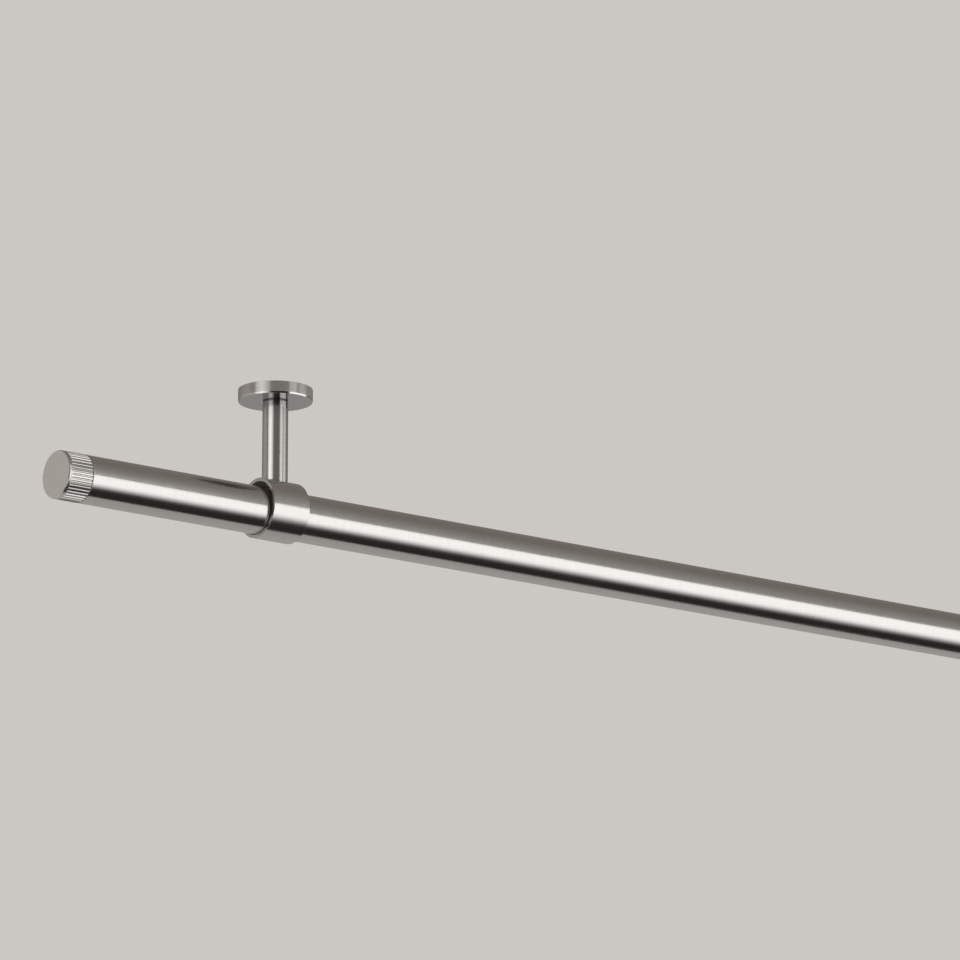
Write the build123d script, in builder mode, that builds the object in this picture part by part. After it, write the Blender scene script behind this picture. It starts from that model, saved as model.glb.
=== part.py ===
from build123d import *
import os
from math import cos, radians, sin

# A curtain rod that hangs under a ceiling: a round steel tube with two fluted end caps,
# carried by two turned brackets. Each bracket is a plate screwed to the ceiling, a round
# cover over it, a post on a threaded stud, and a ring that the rod lies in.
# All sizes are in millimetres. The origin is on the ceiling, midway between the brackets.
# X runs along the rod, Y points to the wall behind it and Z points up.

# The rod as a whole
overall_length = 1200.0  # from end face to end face
rod_diameter = 28.0
rod_drop = 74.0  # from the ceiling to the rod's axis
bracket_inset = 152.0  # from an end face to the axis of the nearer bracket
tube_wall = 1.2
tube_end_chamfer = 0.15

# End caps
cap_length = 16.2  # from the end face to the back of the metal
cap_face_thickness = 6.8  # metal left between the end face and the tapped hole
cap_edge_chamfer = 0.08
cap_rim = 0.15  # from the end face to the groove
cap_groove_width = 1.5
cap_groove_depth = 1.0
flute_start = 2.4  # from the end face
flute_count = 42
flute_radius = 0.65
flute_depth = 0.52

# Push-fit plugs that hold the caps in the tube
plug_flange_thickness = 0.4
plug_flange_step = 0.5  # how far the flange stays below the tube's outside
plug_length = 22.0  # the part that goes into the tube
plug_pilot_length = 4.0  # the plain nose in front of the ribs
plug_pilot_chamfer = 1.0
plug_clearance = 0.1  # radial, between the ribs and the bore of the tube
plug_rib_count = 8
plug_rib_width = 1.8
plug_rib_height = 0.7
plug_wall = 2.4
plug_floor = 5.0

# Base covers
cover_diameter = 43.6
cover_height = 7.3
cover_wall = 2.0
cover_edge_height = 1.1  # of the bevel round the lower edge
cover_edge_width = 0.25
collar_diameter = 13.8  # a little less than the post, so that a shadow line shows
collar_height = 0.5

# Ceiling plates
plate_gap = 0.8  # radial, between the plate and the inside of the cover
plate_headroom = 1.3  # between the plate and the floor of the cover
plate_edge_chamfer = 0.5
ceiling_hole_diameter = 4.5
ceiling_hole_countersink = 9.0
countersink_angle = 90.0

# Studs and posts
stud_diameter = 8.0
stud_set_back = 0.5  # the stud's upper end stays below the ceiling by this much
stud_grip = 14.0  # length of stud inside the post
stud_chamfer = 0.8
post_diameter = 15.0
post_chamfer = 0.2

# Rings
ring_play = 3.4  # how much wider the ring's bore is than the rod
ring_wall = 2.0
ring_length = 25.0
ring_edge_chamfer = 0.15
ring_seat_gap = 0.15  # between the underside of the rod and the ring it lies in
saddle_gap = 0.05  # between the ring and the hollowed end of the post

# Button-head screws, one in each ring and one in each cap
screw_diameter = 5.0
screw_head_diameter = 9.5
screw_head_height = 2.7
screw_head_chamfer = 1.0
screw_tip_chamfer = 0.6
screw_socket_width = 3.0
screw_socket_depth = 1.5
ring_screw_grip = 10.0  # length of screw inside the post
ring_screw_head_gap = 0.95  # between the screw's head and the rod under it
head_clearance = 0.4  # radial, around a screw head

# Lock screws that clamp the rod in the rings
lock_screw_diameter = 5.0
lock_screw_length = 5.0
lock_screw_chamfer = 0.6
lock_screw_angle = 45.0  # from straight up, towards the wall
lock_screw_gap = 0.3  # between the screw's tip and the rod
lock_socket_width = 2.5
lock_socket_depth = 2.2

# Fits that several pieces share
thread_clearance = 0.05  # radial, between a thread and its tapped hole
hole_clearance = 0.25  # radial, between a screw or stud and a plain hole
tapped_hole_spare = 2.0  # length of a tapped hole past the end of its thread

# Sizes that follow from the ones above
rod_radius = rod_diameter / 2
tube_bore_radius = rod_radius - tube_wall
half_length = overall_length / 2
half_tube_length = half_length - cap_length - plug_flange_thickness
bracket_x = half_length - bracket_inset
cover_radius = cover_diameter / 2
cover_bore_radius = cover_radius - cover_wall
plate_radius = cover_bore_radius - plate_gap
plate_thickness = cover_height - cover_wall - plate_headroom
ceiling_hole_spacing = plate_radius + stud_diameter / 2  # each hole midway from stud to edge
post_radius = post_diameter / 2
post_top = -(cover_height + collar_height)
ring_bore_radius = (rod_diameter + ring_play) / 2
ring_radius = ring_bore_radius + ring_wall
ring_axis_height = -rod_drop + ring_bore_radius - rod_radius - ring_seat_gap
ring_top = ring_axis_height + ring_radius
ring_screw_seat = -rod_drop + rod_radius + ring_screw_head_gap + screw_head_height
cap_groove_end = cap_rim + cap_groove_width
cap_thread_depth = cap_length - cap_face_thickness
cap_screw_grip = cap_thread_depth - tapped_hole_spare
plug_rib_radius = tube_bore_radius - plug_clearance
plug_core_radius = plug_rib_radius - plug_rib_height
plug_hollow_radius = plug_core_radius - plug_wall

sides = {"left": -1, "right": 1}


def turning_plane(x):
    """Upright plane through a bracket's axis: x along the rod, y up."""
    return Plane(origin=(x, 0, 0), x_dir=(1, 0, 0), z_dir=(0, -1, 0))


def level_plane(x, height):
    """Level plane on a bracket's axis, facing up."""
    return Plane(origin=(x, 0, height))


def downward_plane(x, height):
    """Level plane on a bracket's axis, facing down."""
    return Plane(origin=(x, 0, height), x_dir=(1, 0, 0), z_dir=(0, 0, -1))


def end_plane(side, depth):
    """Plane across the rod, depth millimetres in from an end face, facing outward."""
    return Plane(
        origin=(side * (half_length - depth), 0, -rod_drop), x_dir=(0, side, 0), z_dir=(side, 0, 0)
    )


def inward_plane(side, depth):
    """The same plane, facing the middle of the rod."""
    return Plane(origin=end_plane(side, depth).origin, z_dir=(-side, 0, 0))


def make_tube():
    """The rod itself: a plain round tube."""
    with BuildPart() as tube:
        with BuildSketch(Plane(origin=(0, 0, -rod_drop), x_dir=(0, 1, 0), z_dir=(1, 0, 0))):
            Circle(rod_radius)
            Circle(tube_bore_radius, mode=Mode.SUBTRACT)
        extrude(amount=half_tube_length, both=True)
        outer_edges = tube.edges().filter_by(GeomType.CIRCLE).group_by(SortBy.RADIUS)[-1]
        chamfer(outer_edges, tube_end_chamfer)
    return tube


def make_end_cap(side):
    """A turned cap as wide as the tube, with straight flutes around it."""
    face = end_plane(side, 0)
    with BuildPart() as cap:
        with BuildSketch(Plane(origin=face.origin, x_dir=(-side, 0, 0), z_dir=(0, side, 0))):
            with BuildLine():
                Polyline(
                    (0, 0),
                    (0, rod_radius - cap_edge_chamfer),
                    (cap_edge_chamfer, rod_radius),
                    (cap_rim, rod_radius),
                    ((cap_rim + cap_groove_end) / 2, rod_radius - cap_groove_depth),
                    (cap_groove_end, rod_radius),
                    (cap_length, rod_radius),
                    (cap_length, 0),
                    close=True,
                )
            make_face()
        revolve(axis=Axis(face.origin, face.z_dir))
        with BuildSketch(end_plane(side, flute_start)):
            with PolarLocations(rod_radius - flute_depth + flute_radius, flute_count):
                Circle(flute_radius)
        extrude(amount=flute_start - cap_length, mode=Mode.SUBTRACT)
        with Locations(inward_plane(side, cap_length)):
            Hole(screw_diameter / 2 + thread_clearance, depth=cap_thread_depth)
    return cap


def make_cap_plug(side):
    """A moulded plug with crush ribs, which the cap is screwed to."""
    flange_back = cap_length + plug_flange_thickness
    nose = flange_back + plug_length
    with BuildPart() as plug:
        with BuildSketch(end_plane(side, cap_length)):
            Circle(rod_radius - plug_flange_step)
        extrude(amount=-plug_flange_thickness)
        with BuildSketch(end_plane(side, flange_back)):
            Circle(plug_core_radius)
        extrude(amount=-plug_length)
        nose_edge = plug.edges().filter_by(GeomType.CIRCLE).sort_by(Axis((0, 0, 0), (side, 0, 0)))[0]
        chamfer(nose_edge, plug_pilot_chamfer)
        with BuildSketch(end_plane(side, flange_back)):
            with PolarLocations(plug_core_radius, plug_rib_count):
                Rectangle(2 * plug_rib_height, plug_rib_width)
            Circle(plug_rib_radius, mode=Mode.INTERSECT)
        extrude(amount=plug_pilot_length - plug_length)
        with BuildSketch(end_plane(side, nose)):
            Circle(plug_hollow_radius)
        extrude(amount=nose - cap_length - plug_floor, mode=Mode.SUBTRACT)
        with Locations(end_plane(side, cap_length)):
            Hole(screw_diameter / 2 + hole_clearance)
    return plug


def make_button_screw(seat, grip):
    """A screw whose head stands on the seat plane and whose shank goes back from it."""
    outward = Axis(seat.origin, seat.z_dir)
    with BuildPart() as screw:
        with BuildSketch(seat):
            Circle(screw_head_diameter / 2)
        extrude(amount=screw_head_height)
        chamfer(screw.edges().sort_by(outward)[-1], screw_head_chamfer)
        with BuildSketch(seat):
            Circle(screw_diameter / 2)
        extrude(amount=-grip)
        chamfer(screw.edges().sort_by(outward)[0], screw_tip_chamfer)
        with BuildSketch(seat.offset(screw_head_height)):
            RegularPolygon(screw_socket_width / 2, 6, major_radius=False)
        extrude(amount=-screw_socket_depth, mode=Mode.SUBTRACT)
    return screw


def make_ceiling_plate(x):
    """A round plate with two countersunk holes and a tapped hole for the stud."""
    with BuildPart() as plate:
        with BuildSketch(level_plane(x, 0)):
            Circle(plate_radius)
        extrude(amount=-plate_thickness)
        chamfer(plate.edges().group_by(Axis.Z)[0], plate_edge_chamfer)
        with Locations(downward_plane(x, -plate_thickness)):
            Hole(stud_diameter / 2 + thread_clearance)
            with GridLocations(0, ceiling_hole_spacing, 1, 2):
                CounterSinkHole(
                    ceiling_hole_diameter / 2,
                    ceiling_hole_countersink / 2,
                    counter_sink_angle=countersink_angle,
                )
    return plate


def make_plate_stud(x):
    """The threaded stud that joins plate, cover and post."""
    with BuildPart() as stud:
        with BuildSketch(level_plane(x, -stud_set_back)):
            Circle(stud_diameter / 2)
        extrude(amount=post_top - stud_grip + stud_set_back)
        chamfer(stud.edges().filter_by(GeomType.CIRCLE), stud_chamfer)
    return stud


def make_base_cover(x):
    """The turned cup that hides the plate, with a low collar that the post stands on."""
    with BuildPart() as cover:
        with BuildSketch(turning_plane(x)):
            with BuildLine():
                Polyline(
                    (stud_diameter / 2 + hole_clearance, cover_wall - cover_height),
                    (cover_bore_radius, cover_wall - cover_height),
                    (cover_bore_radius, 0),
                    (cover_radius, 0),
                    (cover_radius, cover_edge_height - cover_height),
                    (cover_radius - cover_edge_width, -cover_height),
                    (collar_diameter / 2, -cover_height),
                    (collar_diameter / 2, post_top),
                    (stud_diameter / 2 + hole_clearance, post_top),
                    close=True,
                )
            make_face()
        revolve(axis=Axis((x, 0, 0), (0, 0, 1)))
    return cover


def make_post(x):
    """A round bar, hollowed at its lower end to sit on the ring."""
    with BuildPart() as post:
        with BuildSketch(level_plane(x, post_top)):
            Circle(post_radius)
        extrude(amount=ring_axis_height - post_top)
        chamfer(post.edges().group_by(Axis.Z)[-1], post_chamfer)
        with BuildSketch(Plane(origin=(x, 0, ring_axis_height), z_dir=(1, 0, 0))):
            Circle(ring_radius + saddle_gap)
        extrude(amount=post_diameter, both=True, mode=Mode.SUBTRACT)
        with Locations(level_plane(x, post_top)):
            Hole(stud_diameter / 2 + thread_clearance, depth=stud_grip + tapped_hole_spare)
        with Locations(downward_plane(x, ring_top)):
            Hole(screw_diameter / 2 + thread_clearance, depth=ring_screw_grip + tapped_hole_spare)
    return post


def lock_screw_plane(x, distance):
    """Plane across a lock screw, at a distance from the rod's axis, facing outward."""
    tilt = radians(lock_screw_angle)
    outward = Plane(origin=(x, 0, -rod_drop), x_dir=(1, 0, 0), z_dir=(0, sin(tilt), cos(tilt)))
    return outward.offset(distance)


def make_ring(x):
    """The ring that the rod lies in, with a spot face and two holes."""
    start = Plane(origin=(x - ring_length / 2, 0, ring_axis_height), z_dir=(1, 0, 0))
    with BuildPart() as ring:
        with BuildSketch(start):
            Circle(ring_radius)
            Circle(ring_bore_radius, mode=Mode.SUBTRACT)
        extrude(amount=ring_length)
        chamfer(ring.edges().filter_by(GeomType.CIRCLE), ring_edge_chamfer)
        with Locations(downward_plane(x, ring_axis_height)):
            CounterBoreHole(
                screw_diameter / 2 + hole_clearance,
                screw_head_diameter / 2 + head_clearance,
                counter_bore_depth=ring_screw_seat - ring_axis_height,
                depth=ring_radius + ring_wall,
            )
        with BuildSketch(lock_screw_plane(x, rod_radius)):
            Circle(lock_screw_diameter / 2 + thread_clearance)
        extrude(amount=ring_radius, mode=Mode.SUBTRACT)
    return ring


def make_lock_screw(x):
    """A headless screw that presses on the rod from behind."""
    tip = lock_screw_plane(x, rod_radius + lock_screw_gap)
    with BuildPart() as screw:
        with BuildSketch(tip):
            Circle(lock_screw_diameter / 2)
        extrude(amount=lock_screw_length)
        chamfer(screw.edges().filter_by(GeomType.CIRCLE), lock_screw_chamfer)
        with BuildSketch(tip.offset(lock_screw_length)):
            RegularPolygon(lock_socket_width / 2, 6, major_radius=False)
        extrude(amount=-lock_socket_depth, mode=Mode.SUBTRACT)
    return screw


def save(piece, name):
    """Label a finished piece and write it to its own file."""
    piece.part.label = name
    export_step(piece.part, f"parts/{name}.step")


os.makedirs("parts", exist_ok=True)
save(make_tube(), "rod_tube")
for side_name, side in sides.items():
    x = side * bracket_x
    save(make_end_cap(side), f"{side_name}_end_cap")
    save(make_cap_plug(side), f"{side_name}_cap_plug")
    cap_screw_seat = inward_plane(side, cap_length + plug_floor)
    save(make_button_screw(cap_screw_seat, plug_floor + cap_screw_grip), f"{side_name}_cap_screw")
    save(make_ceiling_plate(x), f"{side_name}_ceiling_plate")
    save(make_plate_stud(x), f"{side_name}_plate_stud")
    save(make_base_cover(x), f"{side_name}_base_cover")
    save(make_post(x), f"{side_name}_post")
    save(make_ring(x), f"{side_name}_ring")
    ring_screw_length = ring_top - ring_screw_seat + ring_screw_grip
    ring_screw = make_button_screw(downward_plane(x, ring_screw_seat), ring_screw_length)
    save(ring_screw, f"{side_name}_ring_screw")
    save(make_lock_screw(x), f"{side_name}_lock_screw")
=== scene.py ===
# %% [markdown]
# # A steel curtain rod under a ceiling
# The real object is a brushed steel tube that hangs from two turned brackets and ends in two
# fluted caps. Its construction is already settled in CAD, so this lesson only gives it its looks:
# fine meshes for the surfaces that show, and a finish for every piece.
# A model could be eyeballed into place. Here each piece takes its place and its main sizes from
# the CAD solid that it stands for, so that it lies exactly on it. Only details, such as a thread,
# a hole or the rounding of an edge, are given in this lesson.

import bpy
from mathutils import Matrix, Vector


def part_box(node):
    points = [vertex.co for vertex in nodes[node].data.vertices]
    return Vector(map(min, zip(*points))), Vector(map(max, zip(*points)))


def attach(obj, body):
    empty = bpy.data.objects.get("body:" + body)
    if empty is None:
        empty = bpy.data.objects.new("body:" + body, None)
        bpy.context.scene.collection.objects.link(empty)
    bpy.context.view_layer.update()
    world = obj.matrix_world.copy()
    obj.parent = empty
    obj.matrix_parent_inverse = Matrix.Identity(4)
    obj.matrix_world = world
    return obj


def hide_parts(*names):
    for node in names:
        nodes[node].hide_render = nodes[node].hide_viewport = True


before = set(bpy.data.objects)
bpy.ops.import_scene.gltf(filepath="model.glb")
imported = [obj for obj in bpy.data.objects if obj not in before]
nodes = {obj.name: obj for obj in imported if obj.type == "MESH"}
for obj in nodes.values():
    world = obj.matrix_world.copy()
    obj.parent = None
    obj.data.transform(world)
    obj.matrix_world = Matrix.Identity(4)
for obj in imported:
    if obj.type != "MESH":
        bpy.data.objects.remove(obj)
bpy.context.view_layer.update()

# %% [markdown]
# ## Measuring
# Blender works in metres and a workshop drawing in millimetres, so small sizes are written as a
# number times mm. A solid's box gives its length, its radius and where its axis lies.

# %% Sizes that come from the solids
from math import acos, atan, cos, degrees, floor, pi, prod, radians, sin, sqrt, tan

import bmesh
import bpy
from mathutils import Matrix, Vector

mm = 0.001
along_rod = Vector((1, 0, 0))
towards_wall = Vector((0, 1, 0))
up = Vector((0, 0, 1))


def extent(node):
    """How far a solid reaches along X, Y and Z."""
    low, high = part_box(node)
    return high - low


def middle(node):
    """The centre of a solid's box."""
    low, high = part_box(node)
    return (low + high) / 2


rod_radius = extent("rod_tube").z / 2
rod_length = extent("rod_tube").x
rod_axis = middle("rod_tube")
print(f"rod: radius {rod_radius / mm:.2f} mm, length {rod_length / mm:.1f} mm")
print(f"rod axis: {-rod_axis.z / mm:.2f} mm below the ceiling")

# %% [markdown]
# ## The camera
# The rod is seen from below and from its left end, with a long lens, so that it hardly narrows
# towards its far end. A camera can be turned by hand until the picture looks right. Here its
# heading and its rise are two angles, and a track quaternion turns them into a rotation that
# keeps the horizon level.

# %% Camera
camera_place = Vector((-2.5235, -2.9014, -0.9558))
camera_heading = radians(37.489)  # from straight at the wall, towards the right
camera_rise = radians(14.195)
camera_lens = 237.85  # millimetres, on a sensor 36 mm wide

look = Vector(
    (
        sin(camera_heading) * cos(camera_rise),
        cos(camera_heading) * cos(camera_rise),
        sin(camera_rise),
    )
)
camera_data = bpy.data.cameras.new("camera")
camera_data.lens = camera_lens
camera = bpy.data.objects.new("camera", camera_data)
camera.location = camera_place
camera.rotation_mode = "QUATERNION"
camera.rotation_quaternion = look.to_track_quat("-Z", "Y")
scene = bpy.context.scene
scene.collection.objects.link(camera)
scene.camera = camera
scene.view_settings.view_transform = "Standard"
print(f"camera to bracket: {(middle('left_ring') - camera_place).length:.2f} m")

# %% [markdown]
# ## Sums with sockets
# A finish is a small machine of nodes. Wiring each Math node by hand takes many lines, so a
# socket is wrapped in a class that understands +, -, * and **. Writing 1 - mask then adds the
# Math node by itself. Every other kind of node comes from one method, which takes the node's
# type, its settings and what goes into its sockets.


# %% A socket that can be used in sums
class Wire:
    """One output socket, used in sums as if it were a number."""

    def __init__(self, bench, socket):
        self.bench = bench
        self.socket = socket

    def maths(self, operation, first, second):
        """The outcome of one Math node."""
        return self.bench.node("ShaderNodeMath", {"operation": operation}, {0: first, 1: second})

    def __add__(self, other):
        return self.maths("ADD", self, other)

    def __sub__(self, other):
        return self.maths("SUBTRACT", self, other)

    def __rsub__(self, other):
        return self.maths("SUBTRACT", other, self)

    def __mul__(self, other):
        return self.maths("MULTIPLY", self, other)

    def __pow__(self, other):
        return self.maths("POWER", self, other)

    def __neg__(self):
        return self.maths("SUBTRACT", 0.0, self)

    __radd__ = __add__
    __rmul__ = __mul__


class Bench:
    """A node tree with one way to add a node to it."""

    def __init__(self, tree):
        self.tree = tree
        self.tree.nodes.clear()

    def node(self, kind, settings=None, inputs=None, output=0):
        """Add a node, set it up, fill or link its sockets, and give back one of its outputs."""
        made = self.tree.nodes.new(kind)
        for name, value in (settings or {}).items():
            setattr(made, name, value)
        for key, value in (inputs or {}).items():
            socket = made.inputs[key]
            if isinstance(value, Wire):
                self.tree.links.new(value.socket, socket)
            elif socket.type == "RGBA":
                socket.default_value = (*value[:3], 1.0)
            else:
                socket.default_value = value
        if len(made.outputs) == 0:
            return None
        return Wire(self, made.outputs[output])

    def axes(self, vector):
        """The three numbers of a vector, as wires."""
        return [self.node("ShaderNodeSeparateXYZ", {}, {0: vector}, axis) for axis in range(3)]

    def vector(self, x, y, z):
        """Three numbers joined into one vector."""
        return self.node("ShaderNodeCombineXYZ", {}, {0: x, 1: y, 2: z})

    def fade(self, value, start, stop):
        """A soft edge: 0 at start and before it, 1 at stop and past it. Stop may be the lower."""
        limits = {"Value": value, "From Min": start, "From Max": stop}
        return self.node("ShaderNodeMapRange", {"interpolation_type": "SMOOTHSTEP"}, limits)

    def blend(self, share, first, second):
        """A colour that goes from first to second as share goes from 0 to 1."""
        return self.node("ShaderNodeMix", {"data_type": "RGBA"}, {0: share, 6: first, 7: second}, 2)

    def noise(self, place, scale, detail):
        """Random soft spots from 0 to 1, the smaller the larger scale is."""
        return self.node("ShaderNodeTexNoise", {}, {"Vector": place, "Scale": scale, "Detail": detail})


print("operators ready:", [name for name in vars(Wire) if name.startswith("__r")])

# %% [markdown]
# ## The studio that the steel mirrors
# Polished steel has hardly any colour of its own: it shows what stands around it. A room could
# be built from panels and lamps. Here it is painted on the inside of an endless sphere, because
# then the bright and dark bands stay as straight along a rod as they do in a large real room.
# There is a warm ceiling, and behind the rod a wall that grows paler downward. The floor is dark,
# but for a pale strip on the left. In front are two long soft windows with a dark pier between
# them, and a narrow pane high above the right window.
# The camera itself sees none of that: for camera rays the backdrop is one plain pale colour.
# A direction into the room is called an aim. Its rise is its angle above the horizon. Its heading
# and its tilt are measured from straight ahead, away from the wall: heading sideways and tilt
# upward.

# %% Directions in the studio
world = bpy.data.worlds.new("studio")
scene.world = world
world.use_nodes = True
studio = Bench(world.node_tree)
to_degrees = degrees(1)

aim = studio.node("ShaderNodeTexCoord", {}, {}, "Generated")
aim_x, aim_y, aim_z = studio.axes(aim)
rise = studio.node("ShaderNodeMath", {"operation": "ARCSINE"}, {0: aim_z}) * to_degrees
heading = aim_x.maths("ARCTAN2", aim_x, -aim_y) * to_degrees
tilt = aim_z.maths("ARCTAN2", aim_z, -aim_y) * to_degrees
print("nodes for the directions:", len(world.node_tree.nodes))

# %% [markdown]
# Each part of the room is a mask from 0 to 1 and a colour, laid over what was there before, as
# a painter works from the background forward. A mask is made of soft edges. Each edge is a pair:
# the mask is 0 at the first number and 1 at the second, so an edge can face either way. The
# numbers are degrees, or else the share of the aim that points along one axis.
# Each edge could be a ramp of its own, but a pair of numbers is easier to read and to move.

# %% Ceiling
ceiling_near = (0.375, 0.358, 0.338)
ceiling_far = (0.255, 0.225, 0.205)
end_shade = (0.250, 0.243, 0.236)
ceiling_edge = (20, 85)  # tilt
end_edge = (0.80, 0.92)  # share along X

ceiling = studio.blend(studio.fade(tilt, *ceiling_edge), ceiling_near, ceiling_far)
light = studio.blend(studio.fade(aim_x, *end_edge), ceiling, end_shade)
print("ceiling at its darkest from a tilt of", ceiling_edge[1], "degrees on")

# %% Floor of the room
floor_dark = (0.032, 0.029, 0.026)
floor_pale = (0.480, 0.465, 0.450)
horizon = (0.01, -0.01)  # share along Z
strip_top = (-16, -24)  # rise
strip_side = (-16, -26)  # heading
strip_foot = (-42, -50)  # rise
strip_foot_side = (-56, -70)  # heading
strip_foot_share = 0.55

light = studio.blend(studio.fade(aim_z, *horizon), light, floor_dark)
foot_darkness = strip_foot_share + (1 - strip_foot_share) * studio.fade(heading, *strip_foot_side)
under_strip = studio.fade(rise, *strip_foot) * foot_darkness
strip = studio.fade(rise, *strip_top) * studio.fade(heading, *strip_side) * (1.0 - under_strip)
light = studio.blend(strip, light, floor_pale)
print("pale strip of floor from", -strip_top[0], "to", -strip_foot[1], "degrees down")

# %% Wall behind the rod
wall_left_high = (0.430, 0.415, 0.400)
wall_left_low = (0.560, 0.542, 0.530)
wall_right_high = (0.205, 0.198, 0.190)
wall_right_level = (0.430, 0.417, 0.407)
wall_right_low = (0.505, 0.489, 0.478)
left_pales = (16, -5)  # rise
right_pales = (11, -6)  # rise
right_pales_again = (-4, -30)  # rise
left_to_right = (-0.6, 0.1)  # share along X
wall_top_slope = 1.73  # at the ceiling, how far back an aim goes for how far up
wall_foot_slope = -0.11  # the same at the floor
foot_slope_change = -0.30  # what is added to it at the right
foot_slope_edge = (0.57, 0.67)  # share along X
wall_softness = 0.012

wall_left = studio.blend(studio.fade(rise, *left_pales), wall_left_high, wall_left_low)
wall_right = studio.blend(studio.fade(rise, *right_pales), wall_right_high, wall_right_level)
wall_right = studio.blend(studio.fade(rise, *right_pales_again), wall_right, wall_right_low)
wall = studio.blend(studio.fade(aim_x, *left_to_right), wall_left, wall_right)
foot_slope = studio.fade(aim_x, *foot_slope_edge) * foot_slope_change + wall_foot_slope
wall_edge = aim_z.maths("MAXIMUM", aim_z * wall_top_slope, aim_z * foot_slope)
behind = studio.fade(aim_y - wall_edge, -wall_softness, wall_softness)
light = studio.blend(behind, light, wall)
print("the wall reaches", round(degrees(atan(1 / wall_top_slope))), "degrees up")

# %% Pier between the windows
pier_high = (0.190, 0.184, 0.178)
pier_low = (0.034, 0.032, 0.031)
pier_left = (-54, -50)  # heading
pier_right = (9, 6)  # heading
pier_top = (30, 20)  # rise
pier_foot = (-26, -18)  # rise
pier_darkens = (12, -12)  # rise

pier = studio.fade(heading, *pier_left) * studio.fade(heading, *pier_right)
pier = pier * studio.fade(rise, *pier_top) * studio.fade(rise, *pier_foot)
pier_colour = studio.blend(studio.fade(rise, *pier_darkens), pier_high, pier_low)
light = studio.blend(pier, light, pier_colour)
print("pier", pier_right[1] - pier_left[1], "degrees wide")

# %% [markdown]
# Daylight comes in through the windows and draws the long bright bands on the tube. Their edges
# are soft, as those of a curtained window are. The right one is a little lower along part of its
# top, the left one fades in slowly from the pier, and both end at a sill. Lamps behind frames
# would give them too, with harder edges and more noise.

# %% Right window
window_left = (6, 9)  # heading
window_right = (74, 70)  # heading
window_top = 14.0  # rise
top_softness = 1.5
far_edge = (0.54, 0.66)  # share along X
notch_left = (0.50, 0.54)  # share along X
notch_right = (0.70, 0.665)  # share along X
notch_depth = 2.5
notch_far_depth = 2.9

far_end = studio.fade(aim_x, *far_edge)
notch = studio.fade(aim_x, *notch_left) * studio.fade(aim_x, *notch_right)
top = window_top - notch * (notch_depth + notch_far_depth * far_end)
under_top = studio.fade(rise, top + top_softness, top - top_softness)
right_window = under_top * studio.fade(heading, *window_left) * studio.fade(heading, *window_right)
print("right window", window_right[1] - window_left[1], "degrees wide")

# %% Left window
left_top = (29, 25)  # rise
left_foot = (-36, -26)  # rise
left_first_edge = (-50, -54)  # heading
left_first_share = 0.28
left_slow_edge = (-52, -78)  # heading
left_dims = (-80, -102)  # heading
left_dimming = 0.5
left_end = (-103, -98)  # heading

left_first = left_first_share * studio.fade(heading, *left_first_edge)
left_rest = (1 - left_first_share) * studio.fade(heading, *left_slow_edge)
left_window = (
    studio.fade(rise, *left_top)
    * (left_first + left_rest)
    * (1.0 - left_dimming * studio.fade(heading, *left_dims))
    * studio.fade(heading, *left_end)
    * studio.fade(rise, *left_foot)
)
print("left window", left_first_edge[0] - left_end[1], "degrees wide")

# %% High pane and sill
pane_foot = (15.4, 17.0)  # rise
pane_top = (36, 32)  # rise
pane_right = (34, 30)  # heading
pane_grows = (18, 28)  # heading
pane_dim, pane_gain = 0.3, 0.6
sill_dark, sill_bright = -44, -16  # rise
sill_dark_drop, sill_bright_drop = 2.0, 7.5  # how much lower they are at the far end
window_glow = (1.63, 1.62, 1.62)

high_pane = (
    studio.fade(rise, *pane_foot)
    * studio.fade(rise, *pane_top)
    * studio.fade(heading, *window_left)
    * studio.fade(heading, *pane_right)
)
pane_glow = pane_dim + pane_gain * studio.fade(heading, *pane_grows)
sill_start = sill_dark - sill_dark_drop * far_end
sill_stop = sill_bright - sill_bright_drop * far_end
above_sill = studio.fade(rise, sill_start, sill_stop)
window = above_sill * (right_window + left_window) + pane_glow * high_pane
light = studio.blend(window, light, window_glow)
print("high pane", pane_top[1] - pane_foot[1], "degrees high")

# %% What the steel sees and what the camera sees
backdrop_colour = (0.600, 0.575, 0.545)
seen_by_camera = studio.node("ShaderNodeLightPath", {}, {}, "Is Camera Ray")
room = studio.node("ShaderNodeBackground", {}, {"Color": light})
backdrop = studio.node("ShaderNodeBackground", {}, {"Color": backdrop_colour})
shown = studio.node("ShaderNodeMixShader", {}, {0: seen_by_camera, 1: room, 2: backdrop})
studio.node("ShaderNodeOutputWorld", {}, {"Surface": shown})
print("studio nodes:", len(world.node_tree.nodes))

# %% [markdown]
# ## Floor and lamp
# A wide soft lamp hangs high above and a plain pale floor lies below, so that the rod throws a
# faint soft shadow. The floor thins out towards its rim, where it passes into the backdrop, and
# it can't be seen from underneath, so it never hides the rod from a low camera.


# %% Starting a finish
def new_finish(name):
    """An empty material, and the bench on which it is put together."""
    finish = bpy.data.materials.new(name)
    finish.use_nodes = True
    return finish, Bench(finish.node_tree)


print("materials before the first finish:", len(bpy.data.materials))

# %% Floor
floor_depth = 1.3
floor_radius = 3.4
floor_solid_share = 0.45  # of the radius, inside which the floor isn't thinned out
floor_sides = 96
floor_grain_scale = 4.0
floor_low = (0.62, 0.595, 0.565)
floor_high = (0.66, 0.635, 0.605)

floor_mesh = bpy.data.meshes.new("floor")
disc = bmesh.new()
bmesh.ops.create_circle(disc, cap_ends=True, segments=floor_sides, radius=floor_radius)
disc.to_mesh(floor_mesh)
disc.free()
studio_floor = bpy.data.objects.new("floor", floor_mesh)
studio_floor.location = (0, 0, -floor_depth)
studio_floor.visible_glossy = False
scene.collection.objects.link(studio_floor)

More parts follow.
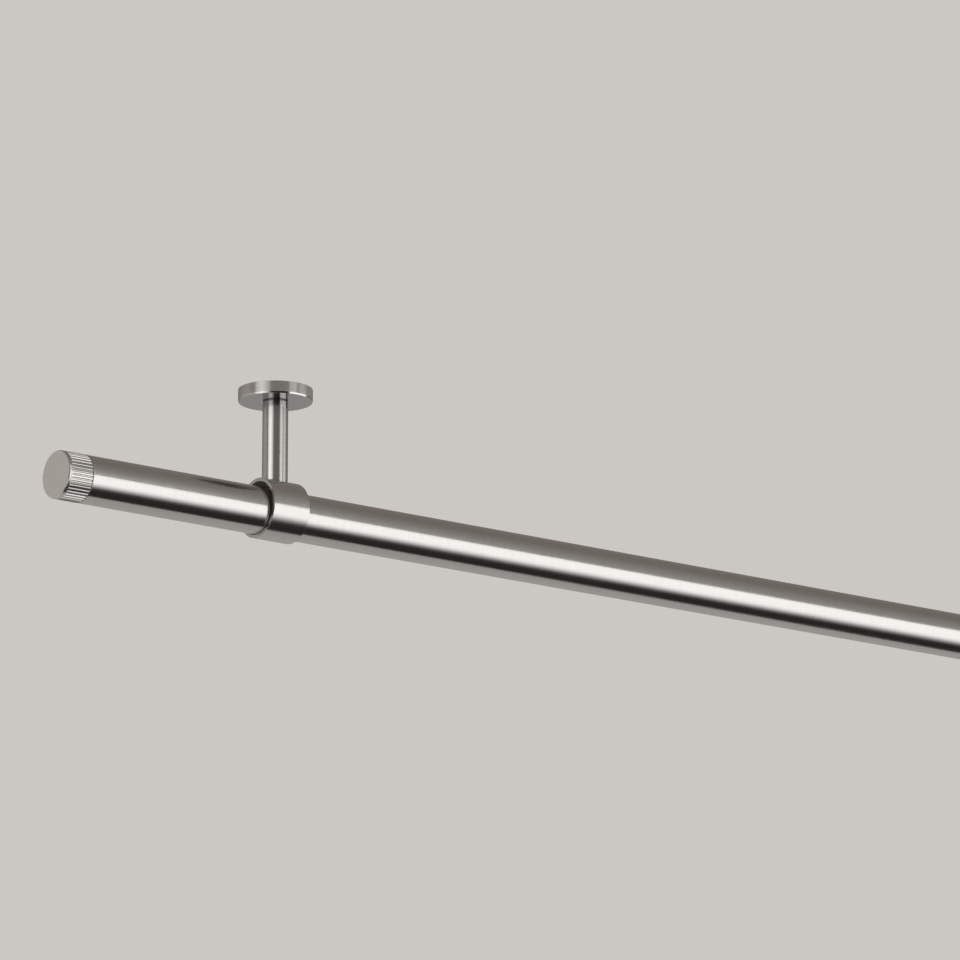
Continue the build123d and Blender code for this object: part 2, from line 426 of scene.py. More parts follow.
floor_finish, paint = new_finish("floor_paint")
spot = paint.node("ShaderNodeTexCoord", {}, {}, "Object")
spot_x, spot_y, _ = paint.axes(spot)
reach = (spot_x * spot_x + spot_y * spot_y) ** 0.5
grain = paint.noise(spot, floor_grain_scale, 3.0)
floor_colour = paint.blend(grain, floor_low, floor_high)
matt = paint.node("ShaderNodeBsdfDiffuse", {}, {"Color": floor_colour})
clear = paint.node("ShaderNodeBsdfTransparent")
from_below = paint.node("ShaderNodeNewGeometry", {}, {}, "Backfacing")
inner = paint.fade(reach, floor_radius, floor_radius * floor_solid_share)
floor_surface = paint.node("ShaderNodeMixShader", {}, {0: inner * (1 - from_below), 1: clear, 2: matt})
paint.node("ShaderNodeOutputMaterial", {}, {"Surface": floor_surface})
floor_mesh.materials.append(floor_finish)
print(f"floor {floor_depth} m below the ceiling, {2 * floor_radius} m wide")

# %% Lamp
lamp_place = Vector((-0.4, -0.8, 2.2))
lamp_width = 2.6
lamp_power = 60.0
lamp_tint = (1.0, 0.97, 0.93)

lamp_data = bpy.data.lights.new("soft_lamp", "AREA")
lamp_data.shape = "SQUARE"
lamp_data.size = lamp_width
lamp_data.energy = lamp_power
lamp_data.color = lamp_tint
lamp = bpy.data.objects.new("soft_lamp", lamp_data)
lamp.location = lamp_place
lamp.rotation_mode = "QUATERNION"
lamp.rotation_quaternion = (-lamp_place).to_track_quat("-Z", "Y")
lamp.visible_glossy = False
lamp.visible_camera = False
scene.collection.objects.link(lamp)
print(f"lamp {lamp_width} m wide, {lamp_place.z:.1f} m above the level of the ceiling")

# %% [markdown]
# ## A lathe in code
# Nearly every piece of this rod was turned or drawn, so its shape is an outline spun round an
# axis. Blender's Screw modifier can do that too. A lathe written with bmesh is used instead,
# because it can round each corner of the outline by its own small radius, and can bend the spun
# surface afterwards, for flutes, screw threads, hexagon sockets and a hollowed end.
# Real metal has no perfectly sharp edge: the small round on each corner is what catches the light.

# %% Rounding the corners of an outline
arc_steps = 8


def ease(corners, closed):
    """Turn (height, radius, rounding) corners into an outline with a small arc at each corner."""
    outline = []
    for index, (height, radius, rounding) in enumerate(corners):
        is_end = not closed and index in (0, len(corners) - 1)
        if is_end or rounding == 0:
            outline.append((height, radius))
            continue
        corner = Vector((height, radius))
        back = (Vector(corners[index - 1][:2]) - corner).normalized()
        ahead = (Vector(corners[(index + 1) % len(corners)][:2]) - corner).normalized()
        half = acos(max(-1.0, min(1.0, back.dot(ahead)))) / 2
        centre = corner + (back + ahead).normalized() * rounding / sin(half)
        first = corner + back * rounding / tan(half) - centre
        last = corner + ahead * rounding / tan(half) - centre
        for step in range(arc_steps + 1):
            spoke = first.lerp(last, step / arc_steps).normalized() * rounding
            outline.append(tuple(centre + spoke))
    return outline


print("a square corner becomes", len(ease([(0, 1, 0), (1, 1, 0.1), (1, 0, 0)], False)), "points")


# %% Dividing long runs
def divide(outline, spacing):
    """Add points to an outline, so that none lie further apart than spacing."""
    points = [outline[0]]
    for before, after in zip(outline, outline[1:]):
        gap = (Vector(after) - Vector(before)).length
        count = max(1, round(gap / spacing))
        for step in range(1, count + 1):
            points.append(tuple(Vector(before).lerp(Vector(after), step / count)))
    return points


print("a run of 10 in steps of 2:", len(divide([(0, 1), (10, 1)], 2)), "points")


# %% Spinning an outline
def spin(name, outline, closed, steps, bend=None):
    """Spin an outline round local Z. bend(height, radius, angle) may move each point."""
    shape = bmesh.new()
    rings = []
    for height, radius in outline:
        if radius == 0:
            rings.append([shape.verts.new((0, 0, height))] * steps)
            continue
        ring = []
        for step in range(steps):
            angle = 2 * pi * step / steps
            bent_height, bent_radius = bend(height, radius, angle) if bend else (height, radius)
            x, y = bent_radius * cos(angle), bent_radius * sin(angle)
            ring.append(shape.verts.new((x, y, bent_height)))
        rings.append(ring)
    followers = rings[1:] + (rings[:1] if closed else [])
    for ring, following in zip(rings, followers):
        for step in range(steps):
            after = (step + 1) % steps
            corners = [ring[step], ring[after], following[after], following[step]]
            shape.faces.new(list(dict.fromkeys(corners)))
    bmesh.ops.recalc_face_normals(shape, faces=shape.faces)
    mesh = bpy.data.meshes.new(name)
    shape.to_mesh(mesh)
    shape.free()
    return mesh


print("lathe ready")


# %% Putting a piece in its place
smooth_limit = radians(32)
made_pieces = {}


def stand(mesh, origin, axis, across):
    """An object whose local Z runs along axis and whose local X runs across."""
    piece = bpy.data.objects.new(mesh.name, mesh)
    side = axis.cross(across)
    turned = Matrix((across, side, axis)).transposed().to_4x4()
    piece.matrix_world = Matrix.Translation(origin) @ turned
    scene.collection.objects.link(piece)
    bpy.context.view_layer.update()
    return piece


def drill(piece, cutters):
    """Cut holes in a piece for good, and take the cutters away."""
    for cutter in cutters:
        cut = piece.modifiers.new("hole", "BOOLEAN")
        cut.operation = "DIFFERENCE"
        cut.solver = "EXACT"
        cut.object = cutter
    shaped = piece.evaluated_get(bpy.context.evaluated_depsgraph_get())
    mesh = bpy.data.meshes.new_from_object(shaped)
    mesh.name = piece.data.name
    piece.modifiers.clear()
    piece.data = mesh
    for cutter in cutters:
        bpy.data.objects.remove(cutter)


def hand_over(piece, node, body, finish):
    """Smooth a piece, give it its finish, and let it stand for its solid."""
    piece.data.materials.clear()
    piece.data.materials.append(finish)
    piece.data.shade_smooth()
    piece.data.set_sharp_from_angle(angle=smooth_limit)
    flats = piece.modifiers.new("flat faces stay flat", "WEIGHTED_NORMAL")
    flats.keep_sharp = True
    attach(piece, body)
    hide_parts(node)
    made_pieces[piece.name] = len(piece.data.polygons)


print("pieces are smoothed below", round(degrees(smooth_limit)), "degrees")

# %% [markdown]
# ## Steel
# All the steel here is the same metal with other tool marks. A lathe tool, a brush or a belt
# leaves fine grooves that run round the axis, so along them nothing changes, while across them
# the surface changes every fraction of a millimetre. Stretched noise does just that: its input
# is the distance from the axis and the height, both scaled up, and the way round, scaled down.
# A picture of scratched metal would do too, but it would need to be unwrapped onto each shape.
# The marks tip the surface by a degree or so. They are drawn as bump, because they are finer
# than any mesh should be.
# Some faces were made in another way: the end face of a cap, the side of a cover and the inside of a
# ring. Others carry painted shade, a darker tint where less light reaches: the underside and collar of
# a cover and the top of a post. The inside of a ring also has a lighter tint, which is painted light
# in its shade. Each is a zone with a tint of its own, and some are partly satin, which mirrors less
# sharply.


# %% Shine and relief
def shine(bench, colour, metallic, roughness, normal):
    """A surface that mirrors its surroundings."""
    sockets = {"Base Color": colour, "Metallic": metallic, "Roughness": roughness, "Normal": normal}
    return bench.node("ShaderNodeBsdfPrincipled", {}, sockets)


def relief(bench, height, depth):
    """Fine hills and grooves, drawn as bump."""
    return bench.node("ShaderNodeBump", {}, {"Height": height, "Distance": depth, "Strength": 1.0})


print("shine and relief ready")

# %% Steel finish
hair_scale = 5200  # fine marks, scaled up across their length
hair_drift = 70  # and along it
band_scale = 900  # coarse marks, in the same way
band_drift = 30
cloud_scale = 45.0  # large spots where the steel is a little duller or brighter
band_height = 0.6  # in the relief, where a fine mark has 1
hair_roughness = 0.08
cloud_roughness = 0.05
satin_roughness = 0.75
multiply = {"data_type": "RGBA", "blend_type": "MULTIPLY"}


def steel(name, tint, roughness, mark_depth, contrast=0.10, zones=()):
    """Steel with fine marks round its own axis. A zone has edges, a tint and a share of satin."""
    finish, bench = new_finish(name)
    place = bench.node("ShaderNodeTexCoord", {}, {}, "Object")
    x, y, z = bench.axes(place)
    spread = (x * x + y * y) ** 0.5
    fine = bench.vector(spread * hair_scale, z * hair_scale, (x + y) * hair_drift)
    coarse = bench.vector(spread * band_scale, z * band_scale, (x - y) * band_drift)
    hairs = bench.noise(fine, 1.0, 2.0)
    bands = bench.noise(coarse, 1.0, 3.0)
    clouds = bench.noise(place, cloud_scale, 2.0)
    marks = bench.blend(hairs * 0.5 + bands * 0.5, (1 - contrast,) * 3, (1 + contrast,) * 3)
    plain, satin_share = tint, 0.0
    ways = {"spread": spread, "height": z}
    for edges, zone_tint, zone_satin in zones:
        inside = prod(bench.fade(ways[way], *edge) for way, edge in edges.items())
        plain = bench.blend(inside, plain, zone_tint)
        satin_share = inside * zone_satin + satin_share
    colour = bench.node("ShaderNodeMix", multiply, {0: 1.0, 6: marks, 7: plain}, 2)
    rough = (hairs - 0.5) * hair_roughness + (clouds - 0.5) * cloud_roughness + roughness
    grooves = relief(bench, hairs + bands * band_height, mark_depth)
    surface = shine(bench, colour, 1.0, rough, grooves)
    if zones:
        satin = shine(bench, colour, 1.0, satin_roughness, grooves)
        surface = bench.node("ShaderNodeMixShader", {}, {0: satin_share, 1: surface, 2: satin})
    bench.node("ShaderNodeOutputMaterial", {}, {"Surface": surface})
    return finish


print("marks about", round(1 / hair_scale / mm, 2), "mm apart")

# %% [markdown]
# A zone lies where its soft edges meet. Spread is the distance from the piece's own axis, and
# height is measured along that axis: from the end face on a cap, and down from the ceiling on a
# cover and a post.

# %% Zones
cap_face = {"height": (0.4 * mm, 0.1 * mm)}  # the flat end, faced on the lathe
lit_ring_bore = {"spread": (15.9 * mm, 15.75 * mm)}  # the bore: satin, as it was never brushed, with a lighter tint that is painted light in its shade
post_top_shade = {"height": (22 * mm, 7 * mm)}  # painted shade: darker towards the ceiling, which shades the post there
# The upright side down to the bevel, the flat underside within it, and the collar. The underside and
# the collar are tinted darker as painted shade, which deepens the shadow line at the joint.
cover_side = {"spread": (21.2 * mm, 21.6 * mm), "height": (6.3 * mm, 6.1 * mm)}
shaded_underside = {"spread": (21.6 * mm, 21.4 * mm), "height": (7.22 * mm, 7.28 * mm)}
shaded_collar = {"spread": (7.2 * mm, 7.0 * mm), "height": (7.3 * mm, 7.36 * mm)}
print("the inside of a ring lies within a radius of", round(lit_ring_bore["spread"][0] / mm, 2), "mm")

# %% The five steels
steel_tint = (0.560, 0.550, 0.530)
cap_tint = (0.600, 0.585, 0.565)
cover_tint = (0.560, 0.545, 0.525)
brushed_depth = 0.004 * mm

# The lighter tint inside a ring is painted light in its shade; the darker tints of a post's top, a
# cover's underside and its collar are painted shade.
ring_zones = [(lit_ring_bore, (0.640, 0.610, 0.580), 0.8)]
cap_zones = [(cap_face, (0.82, 0.785, 0.755), 0.3)]
post_zones = [(post_top_shade, (0.44, 0.43, 0.42), 0.0)]
cover_zones = [
    (cover_side, cover_tint, 0.5),
    (shaded_underside, (0.360, 0.350, 0.338), 0.0),
    (shaded_collar, (0.24, 0.23, 0.22), 0.2),
]
tube_steel = steel("brushed_tube", steel_tint, 0.17, brushed_depth)
ring_steel = steel("brushed_ring", steel_tint, 0.17, brushed_depth, zones=ring_zones)
cap_steel = steel("brushed_cap", cap_tint, 0.20, brushed_depth, zones=cap_zones)
post_steel = steel("turned_post", steel_tint, 0.18, 0.002 * mm, 0.06, post_zones)
cover_steel = steel("turned_cover", cover_tint, 0.15, 0.003 * mm, zones=cover_zones)
print("zones on a cover:", len(cover_zones))

# %% [markdown]
# ## Small hardware finishes
# The screws, studs and ceiling plates are zinc plated: a thin matt grey skin with a faint blue
# and yellow mottle. The lock screws are black oxide, which is nearly as dark as paint but still
# shines. The plugs in the caps are moulded from grey nylon, with the fine grain of the mould.
# They could be four separate recipes, but all of them are a slow mottle over a fine grain, so
# one recipe with other colours does.

# %% Plated, blackened and moulded surfaces
mottle_scale = 260.0
mottle_edge = (0.30, 0.70)
mottle_roughness = 0.2
grain_scale = 2600.0
grain_depth = 0.004 * mm


def mottled(name, low, high, roughness, metallic):
    """A fine-grained surface whose colour drifts from low to high and back."""
    finish, bench = new_finish(name)
    place = bench.node("ShaderNodeTexCoord", {}, {}, "Object")
    mottle = bench.noise(place, mottle_scale, 4.0)
    skin = relief(bench, bench.noise(place, grain_scale, 2.0), grain_depth)
    colour = bench.blend(bench.fade(mottle, *mottle_edge), low, high)
    rough = (mottle - 0.5) * mottle_roughness + roughness
    surface = shine(bench, colour, metallic, rough, skin)
    bench.node("ShaderNodeOutputMaterial", {}, {"Surface": surface})
    return finish


screw_zinc = mottled("screw_zinc", (0.52, 0.54, 0.58), (0.62, 0.61, 0.56), 0.34, 1.0)
plate_zinc = mottled("plate_zinc", (0.46, 0.48, 0.52), (0.58, 0.58, 0.54), 0.42, 1.0)
screw_black = mottled("screw_black", (0.030, 0.031, 0.034), (0.055, 0.054, 0.052), 0.38, 0.6)
plug_nylon = mottled("plug_nylon", (0.300, 0.295, 0.285), (0.340, 0.335, 0.325), 0.48, 0.0)
print("materials so far:", len(bpy.data.materials))

# %% [markdown]
# ## The tube
# The tube is drawn, welded and brushed, then sawn to length and deburred. Only its two end rims
# need care: each gets a small round outside and a smaller one inside.

# %% Tube
tube_wall = 1.2 * mm
tube_outer_edge = 0.12 * mm
tube_inner_edge = 0.1 * mm
round_steps = 256

tube_corners = [
    (-rod_length / 2, rod_radius - tube_wall, tube_inner_edge),
    (-rod_length / 2, rod_radius, tube_outer_edge),
    (rod_length / 2, rod_radius, tube_outer_edge),
    (rod_length / 2, rod_radius - tube_wall, tube_inner_edge),
]
tube_mesh = spin("rod_tube_steel", ease(tube_corners, True), True, round_steps)
tube = stand(tube_mesh, rod_axis, along_rod, up)
hand_over(tube, "rod_tube", "rod", tube_steel)
print("tube faces:", made_pieces["rod_tube_steel"])

# %% [markdown]
# ## Fluted end caps
# Each cap is a turned disc. Behind a small bevel round its face comes a plain rim that swells
# very slightly, then a fine V-shaped groove, and then straight flutes, milled one by one with a
# round cutter while the cap is indexed. Where the cutter goes in, each flute runs out in a small
# rounded end.
# The flutes could be a bump, but they show in the outline and throw the sharpest reflections of
# the whole object, so they are cut into the mesh: the spun radius is the smaller of the turned
# outline and the cutter's circle, with a soft minimum that breaks the edges between them.

# %% Flute shape
flute_count = 42
flute_radius = 0.65 * mm
flute_depth = 0.52 * mm
flute_edge = 0.07 * mm
flute_full = 3.0 * mm  # from the end face to where the flutes have their full depth
run_out_stretch = 1.7  # how much longer a run-out is than the cutter's own round
run_out_steps = 12
steps_per_flute = 24
flute_pitch = 2 * pi / flute_count
cutter_distance = rod_radius - flute_depth + flute_radius
flute_reach = sqrt(flute_radius**2 - (flute_radius - flute_depth) ** 2)
run_out = flute_reach * run_out_stretch
uncut_radius = rod_radius - flute_depth * 1.5  # nearer to the axis nothing is cut


def soft_minimum(first, second, softness):
    """The smaller of two lengths, rounded where they cross."""
    overlap = max(0.0, softness - abs(first - second)) / softness
    return min(first, second) - overlap * overlap * softness / 4


def fluted(height, radius, angle):
    """Move a point of the spun cap down into the flute that it lies in."""
    if height < flute_full - run_out or radius < uncut_radius:
        return height, radius
    off = (angle / flute_pitch - round(angle / flute_pitch)) * flute_pitch
    sideways = cutter_distance * sin(off)
    behind_cutter = max(0.0, flute_full - height) / run_out_stretch
    left_over = flute_radius**2 - sideways**2 - behind_cutter**2
    if left_over <= 0:
        return height, radius
    cut_radius = cutter_distance * cos(off) - sqrt(left_over)
    return height, soft_minimum(radius, cut_radius, flute_edge)


print(f"{flute_count} flutes, one every {flute_pitch * rod_radius / mm:.2f} mm")
print(f"each runs out over {run_out / mm:.2f} mm")

# %% Cap outline
cap_length = extent("left_end_cap").x
cap_bevel_length = 0.54 * mm
cap_bevel_height = 0.36 * mm
cap_rim_end = 1.42 * mm  # from the end face
cap_rim_fall = 0.12 * mm  # how much thinner the rim is at its bevel than at its end
cap_groove_width = 0.35 * mm
cap_groove_depth = 0.25 * mm
cap_fine_edge = 0.03 * mm
cap_flute_edge = 0.05 * mm
cap_back_edge = 0.1 * mm
cap_hole_radius = 2.55 * mm
cap_hole_depth = 9.4 * mm

run_out_shares = [step / run_out_steps for step in range(run_out_steps + 1)]
run_out_points = [(flute_full - run_out * (1 - share), rod_radius, 0) for share in run_out_shares]
cap_corners = [
    (0, 0, 0),
    (0, rod_radius - cap_rim_fall - cap_bevel_height, cap_fine_edge),
    (cap_bevel_length, rod_radius - cap_rim_fall, cap_fine_edge),
    (cap_rim_end, rod_radius, cap_fine_edge),
    (cap_rim_end + cap_groove_width / 2, rod_radius - cap_groove_depth, cap_fine_edge),
    (cap_rim_end + cap_groove_width, rod_radius, cap_flute_edge),
    *run_out_points,
    (cap_length, rod_radius, cap_back_edge),
    (cap_length, cap_hole_radius, cap_back_edge),
    (cap_length - cap_hole_depth, cap_hole_radius, 0),
    (cap_length - cap_hole_depth, 0, 0),
]
cap_steps = flute_count * steps_per_flute
sides = {"left": along_rod, "right": -along_rod}
for side, inward in sides.items():
    end_face = middle(f"{side}_end_cap") - inward * cap_length / 2
    cap_mesh = spin(f"{side}_cap_fluted", ease(cap_corners, False), False, cap_steps, fluted)
    cap = stand(cap_mesh, end_face, inward, towards_wall)
    hand_over(cap, f"{side}_end_cap", f"{side}_cap", cap_steel)
print("cap faces:", made_pieces["left_cap_fluted"])

# %% [markdown]
# ## Base covers
# The cover is a shallow turned cup that hides the ceiling plate. It could be pressed from sheet,
# but its edges are too crisp for that. A steep bevel runs round its lower edge. Under it a low
# collar, a little narrower than the post, leaves a thin shadow line at the joint. Heights are
# measured down from the ceiling.

# %% Covers
cover_radius = extent("left_base_cover").y / 2
collar_end = extent("left_base_cover").z
collar_height = 0.5 * mm
collar_radius = 6.9 * mm
cover_height = collar_end - collar_height
cover_wall = 2.0 * mm
bevel_height = 1.1 * mm
bevel_width = 0.25 * mm
stud_clear_radius = 4.25 * mm
cover_inner_edge = 0.08 * mm
cover_inner_corner = 0.3 * mm
cover_outer_edge = 0.12 * mm
cover_bevel_edge = 0.1 * mm
collar_edge = 0.05 * mm

cover_corners = [
    (cover_height - cover_wall, stud_clear_radius, cover_inner_edge),
    (cover_height - cover_wall, cover_radius - cover_wall, cover_inner_corner),
    (0, cover_radius - cover_wall, cover_inner_edge),
    (0, cover_radius, cover_outer_edge),
    (cover_height - bevel_height, cover_radius, cover_bevel_edge),
    (cover_height, cover_radius - bevel_width, cover_outer_edge),
    (cover_height, collar_radius, collar_edge),
    (collar_end, collar_radius, collar_edge),
    (collar_end, stud_clear_radius, cover_inner_edge),
]
for side in sides:
    cover_place = middle(f"{side}_base_cover")
    cover_place.z = 0
    cover_mesh = spin(f"{side}_cover_turned", ease(cover_corners, True), True, round_steps)
    cover = stand(cover_mesh, cover_place, -up, along_rod)
    hand_over(cover, f"{side}_base_cover", "brackets", cover_steel)
print("cover faces:", made_pieces["left_cover_turned"])

# %% [markdown]
# ## Posts
# A post is a round bar, faced and tapped at its top. Its lower end is hollowed with a cutter as
# wide as the ring, so that it sits on the ring like a saddle. On the lathe mesh, that means
# pulling the lowest points of the outline up or down to the ring's surface.

# %% Posts
ring_axis = middle("left_ring")
ring_radius = extent("left_ring").z / 2
post_radius = extent("left_post").x / 2
post_end = -ring_axis.z
post_chamfer = 0.2 * mm
post_chamfer_edge = 0.04 * mm
post_inner_edge = 0.08 * mm
post_foot_edge = 0.15 * mm
stud_tap_radius = 4.05 * mm
stud_tap_depth = 16.0 * mm
screw_tap_radius = 2.55 * mm
screw_tap_depth = 12.0 * mm
saddle_gap = 0.05 * mm
saddle_radius = ring_radius + saddle_gap
saddle_top = post_end - ring_radius
saddle_zone = 1.0 * mm  # how far above its lower end the outline is still bent


def saddled(height, radius, angle):
    """Pull the points near the lower end of the post onto the ring."""
    below_end = height - post_end
    if below_end < -saddle_zone:
        return height, radius
    sideways = radius * sin(angle)
    return post_end - sqrt(saddle_radius**2 - sideways**2) + below_end, radius


post_corners = [
    (collar_end + stud_tap_depth, 0, 0),
    (collar_end + stud_tap_depth, stud_tap_radius, 0),
    (collar_end, stud_tap_radius, post_inner_edge),
    (collar_end, post_radius - post_chamfer, post_chamfer_edge),
    (collar_end + post_chamfer, post_radius, post_chamfer_edge),
    (post_end, post_radius, post_foot_edge),
    (post_end, screw_tap_radius, 0),
    (saddle_top - screw_tap_depth, screw_tap_radius, 0),
    (saddle_top - screw_tap_depth, 0, 0),
]
for side in sides:
    post_place = middle(f"{side}_post")
    post_place.z = 0
    post_mesh = spin(f"{side}_post_turned", ease(post_corners, False), False, round_steps, saddled)
    post = stand(post_mesh, post_place, -up, along_rod)
    hand_over(post, f"{side}_post", "brackets", post_steel)
print("post faces:", made_pieces["left_post_turned"])

# %% [markdown]
# ## Rings
# The ring is a slice of thick tube with a few holes: one with a spot face for the screw that
# goes up into the post, and a tapped one at the back for the lock screw. The holes are cut with
# Boolean modifiers, because they cross the round wall at an angle that a lathe can't follow.

# %% Rings
ring_length = extent("left_ring").x
ring_wall = 2.0 * mm
ring_bore = ring_radius - ring_wall
ring_edge = 0.15 * mm
lock_direction = (middle("left_lock_screw") - Vector((ring_axis.x, 0, rod_axis.z))).normalized()
spot_face_radius = 5.15 * mm
spot_face_height = -56.35 * mm
clear_hole_radius = 2.75 * mm
lock_hole_radius = 2.55 * mm
bit_length = 8 * mm
bit_steps = 64
bit_run_in = 1.0 * mm  # how far below the spot face the clear hole's bit starts

ring_corners = [
    (-ring_length / 2, ring_bore, ring_edge),
    (-ring_length / 2, ring_radius, ring_edge),
    (ring_length / 2, ring_radius, ring_edge),
    (ring_length / 2, ring_bore, ring_edge),
]


def drill_bit(origin, axis, radius):
    """A plain round cutter, standing on origin."""
    outline = [(0, 0), (0, radius), (bit_length, radius), (bit_length, 0)]
    return stand(spin("bit", outline, False, bit_steps), origin, axis, along_rod)


for side in sides:
    centre = middle(f"{side}_ring")
    ring_mesh = spin(f"{side}_ring_brushed", ease(ring_corners, True), True, round_steps)
    ring = stand(ring_mesh, centre, along_rod, up)
    on_rod_axis = Vector((centre.x, 0, rod_axis.z))
    screw_line = Vector((centre.x, 0, spot_face_height))
    lock_start = on_rod_axis + lock_direction * rod_radius
    lock_bit = drill_bit(lock_start, lock_direction, lock_hole_radius)
    spot_bit = drill_bit(screw_line, -up, spot_face_radius)
    hole_bit = drill_bit(screw_line - up * bit_run_in, up, clear_hole_radius)
    drill(ring, [lock_bit, spot_bit, hole_bit])
    hand_over(ring, f"{side}_ring", "brackets", ring_steel)
print("ring faces:", made_pieces["left_ring_brushed"])

# %% [markdown]
# ## Screws and studs
# A button-head screw goes up from inside each ring into its post, and another holds each cap on
# its plug. Their threads are rolled: a ridge that climbs one pitch in each turn. On a spun mesh it
# needs no helix sweep, because each point moves in by a sawtooth of its height and its angle. A
# hexagon socket is the same idea, a round hole whose radius grows towards six corners.

# %% Threads and sockets
m5_radius = 2.5 * mm
m5_pitch = 0.8 * mm
thread_depth_share = 0.54  # of the pitch
points_per_pitch = 8
thread_steps = 72
core_share = 0.8  # of a shank's radius, within which nothing is threaded


def thread(height, radius, angle, pitch, start, stop):
    """Radius of a threaded shank at a height and an angle. The last pitch at each end runs out."""
    fullness = min(1.0, max(0.0, min(height - start, stop - height) / pitch))
    phase = height / pitch - angle / (2 * pi)
    ridge = abs(2 * (phase - floor(phase)) - 1)
    return radius - thread_depth_share * pitch * ridge * fullness


def hexagon(apothem, angle):
    """Distance from the middle of a hexagon to its side."""
    sixth = pi / 3
    return apothem / cos(angle - round(angle / sixth) * sixth)


def spin_threaded(name, corners, pitch, bend):
    """Spin an outline whose points lie close enough together for a thread."""
    outline = divide(ease(corners, False), pitch / points_per_pitch)
    return spin(name, outline, False, thread_steps, bend)


print(f"an M5 thread is {thread_depth_share * m5_pitch / mm:.2f} mm deep")

# %% Button-head screws
ring_screw_size = extent("left_ring_screw")
head_radius = ring_screw_size.x / 2
head_height = 2.7 * mm
head_dome = 1.6 * mm
head_rim = 0.15 * mm
socket_radius = 1.5 * mm  # half the width across its flats
socket_depth = 1.5 * mm
socket_edge = 0.08 * mm
socket_share = 1.2  # of the socket's radius, beyond which the head stays round
plain_neck = 0.5 * mm
tip_chamfer = 0.6 * mm
shank_edge = 0.1 * mm


def button_screw(name, length):
    """An M5 screw with its head up: local Z 0 is under the head."""
    tip = length - head_height
    corners = [
        (head_height - socket_depth, 0, 0),
        (head_height - socket_depth, socket_radius, 0),
        (head_height, socket_radius, socket_edge),
        (head_height, head_radius, head_dome),
        (0, head_radius, head_rim),
        (0, m5_radius, shank_edge),
        (-tip + tip_chamfer, m5_radius, shank_edge),
        (-tip, m5_radius - tip_chamfer, shank_edge),
        (-tip, 0, 0),
    ]

    def shaped(height, radius, angle):
        if height < 0 and radius > m5_radius * core_share:
            return height, thread(height, radius, angle, m5_pitch, -tip, -plain_neck)
        if height > 0 and radius < socket_radius * socket_share:
            return height, hexagon(radius, angle)
        return height, radius

    return spin_threaded(name, corners, m5_pitch, shaped)


for side, inward in sides.items():
    cap_screw_length = extent(f"{side}_cap_screw").x
    head_end = middle(f"{side}_cap_screw") + inward * cap_screw_length / 2
    cap_screw_mesh = button_screw(f"{side}_cap_screw_threaded", cap_screw_length)
    cap_screw = stand(cap_screw_mesh, head_end - inward * head_height, inward, up)
    hand_over(cap_screw, f"{side}_cap_screw", f"{side}_cap", screw_zinc)

    head_place = middle(f"{side}_ring_screw")
    head_place.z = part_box(f"{side}_ring_screw")[0].z + head_height
    ring_screw_mesh = button_screw(f"{side}_ring_screw_threaded", ring_screw_size.z)
    ring_screw = stand(ring_screw_mesh, head_place, -up, along_rod)
    hand_over(ring_screw, f"{side}_ring_screw", "brackets", screw_zinc)
print("screw faces:", made_pieces["left_cap_screw_threaded"])

# %% [markdown]
# A headless screw in the back of each ring presses on the rod and locks it, and a stud joins each
# ceiling plate to its post. Both are cut from threaded bar and chamfered at both ends, so that
# they start easily in their holes. One list of corners does for both.


# %% Headless lock screws
def bar(length, radius, chamfer):
    """The corners of a round bar, chamfered at both ends, as far as its second end face."""
    return [
        (0, 0, 0),
        (0, radius - chamfer, shank_edge),
        (chamfer, radius, shank_edge),
        (length - chamfer, radius, shank_edge),
        (length, radius - chamfer, shank_edge),
    ]


lock_length = 5.0 * mm
lock_socket_radius = 1.25 * mm
lock_socket_depth = 2.2 * mm
lock_socket_edge = 0.05 * mm
lock_socket_reach = 1.3 * mm  # beyond it the end face stays round


def lock_shaped(height, radius, angle):
    """The thread outside, and the hexagon socket at the outer end."""
    if radius > m5_radius * core_share:
        return height, thread(height, radius, angle, m5_pitch, 0, lock_length)
    if height > lock_length / 2 and radius < lock_socket_reach:
        return height, hexagon(radius, angle)
    return height, radius


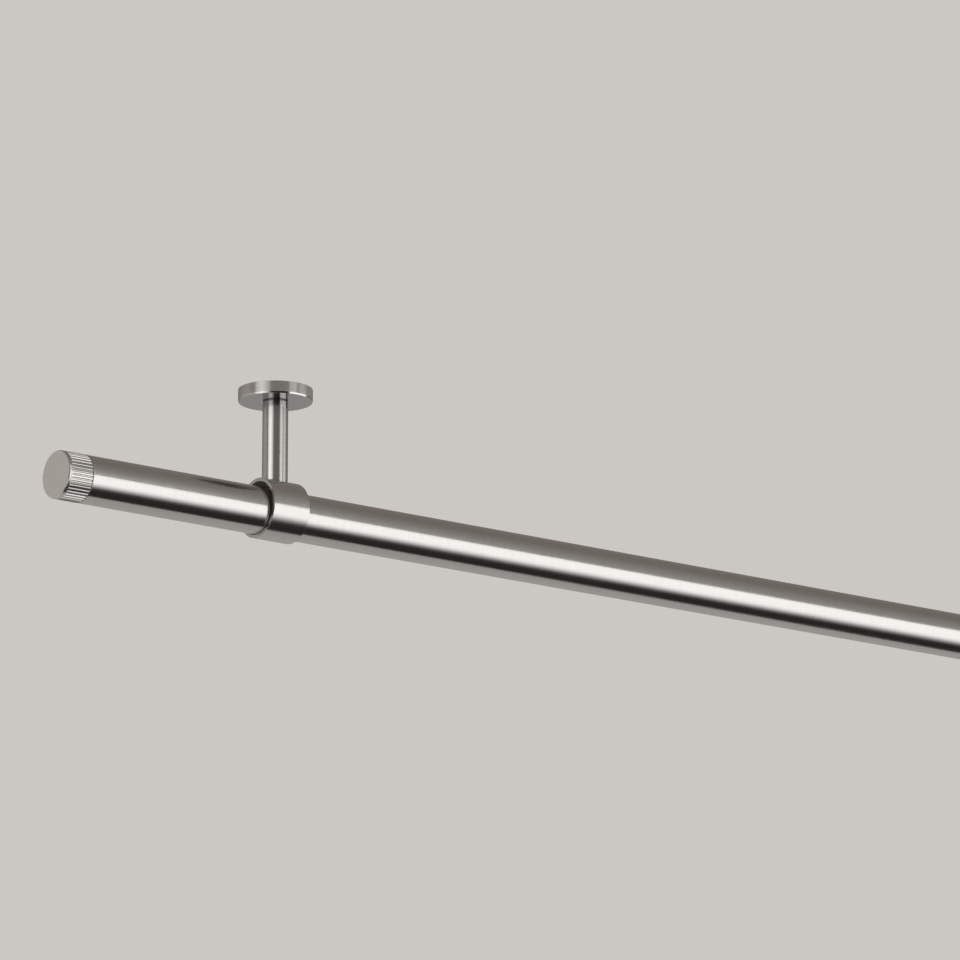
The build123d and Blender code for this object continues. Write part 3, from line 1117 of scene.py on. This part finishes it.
lock_corners = [
    *bar(lock_length, m5_radius, tip_chamfer),
    (lock_length, lock_socket_radius, lock_socket_edge),
    (lock_length - lock_socket_depth, lock_socket_radius, 0),
    (lock_length - lock_socket_depth, 0, 0),
]
for side in sides:
    lock_mesh = spin_threaded(f"{side}_lock_screw_threaded", lock_corners, m5_pitch, lock_shaped)
    lock_tip = middle(f"{side}_lock_screw") - lock_direction * lock_length / 2
    lock = stand(lock_mesh, lock_tip, lock_direction, along_rod)
    hand_over(lock, f"{side}_lock_screw", "brackets", screw_black)
print("lock screw faces:", made_pieces["left_lock_screw_threaded"])

# %% Plate studs
stud_radius = extent("left_plate_stud").x / 2
stud_length = extent("left_plate_stud").z
stud_pitch = 1.25 * mm
stud_chamfer = 0.8 * mm


def stud_shaped(height, radius, angle):
    """The thread of a stud, which leaves its two flat ends alone."""
    if radius < stud_radius * core_share:
        return height, radius
    return height, thread(height, radius, angle, stud_pitch, 0, stud_length)


stud_corners = [*bar(stud_length, stud_radius, stud_chamfer), (stud_length, 0, 0)]
for side in sides:
    stud_mesh = spin_threaded(f"{side}_stud_threaded", stud_corners, stud_pitch, stud_shaped)
    stud_top = middle(f"{side}_plate_stud") + up * stud_length / 2
    stud = stand(stud_mesh, stud_top, -up, along_rod)
    hand_over(stud, f"{side}_plate_stud", "brackets", screw_zinc)
print("stud faces:", made_pieces["left_stud_threaded"])

# %% [markdown]
# ## Plates and plugs
# The ceiling plates and the plugs keep their CAD meshes: their shapes are right as they are, and
# they are seen only from above or when a cap is pulled out. They only need their own finish.

# %% Finishes for the solids that stay
kept_solids = {"ceiling_plate": ("plate_zinc", plate_zinc), "cap_plug": ("plug_nylon", plug_nylon)}
for side in sides:
    for kind, (slot, finish) in kept_solids.items():
        solid = nodes[f"{side}_{kind}"]
        solid.data.materials.clear()
        solid.data.materials.append(finish)
print("kept solids:", len(sides) * len(kept_solids))

# %% [markdown]
# ## Counting faces
# The faces of all the pieces made here are added up. The dressed model has to stay inside
# the box of the solids.

# %% Face count
print("faces in all:", sum(made_pieces.values()))
